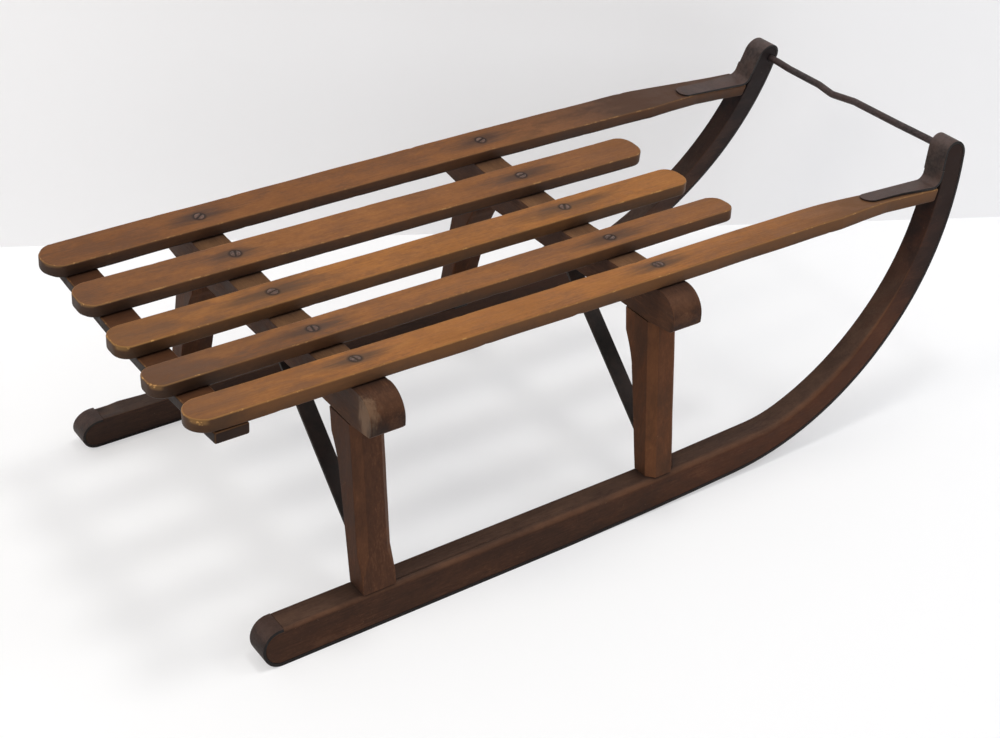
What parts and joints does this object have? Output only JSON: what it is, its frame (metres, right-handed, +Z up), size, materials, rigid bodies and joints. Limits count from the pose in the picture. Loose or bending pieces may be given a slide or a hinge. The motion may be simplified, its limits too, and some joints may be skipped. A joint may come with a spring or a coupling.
{
  "type": "wooden sled",
  "caption": "Child's slatted wooden sled on steel-shod bent runners, with splayed braced posts, upturned horns and a bent steel pull bar.",
  "frame": {"origin": "on the floor under the middle of the sled's bounding box", "axes": "+X forward along the runners, towards the horns; +Y to the sled's left; +Z up"},
  "size_m": [0.9192, 0.409, 0.2966],
  "materials": {
    "slat_wood": "worn, oiled, stained round the screws",
    "frame_wood": "dark, worn, oiled",
    "dark_steel": "old dark brown patina"
  },
  "bodies": {
    "root": {"runner_left": "frame_wood", "runner_right": "frame_wood", "shoe_left": "dark_steel", "shoe_right": "dark_steel", "post_rear_left": "frame_wood", "post_rear_right": "frame_wood", "post_front_left": "frame_wood", "post_front_right": "frame_wood", "beam_rear": "frame_wood", "beam_front": "frame_wood", "rail_left": "slat_wood", "rail_right": "slat_wood", "slat_left": "slat_wood", "slat_middle": "slat_wood", "slat_right": "slat_wood", "batten_rear": "slat_wood", "brace_rear": "dark_steel", "brace_front": "dark_steel", "pull_bar": "dark_steel"}
  },
  "joints": []
}
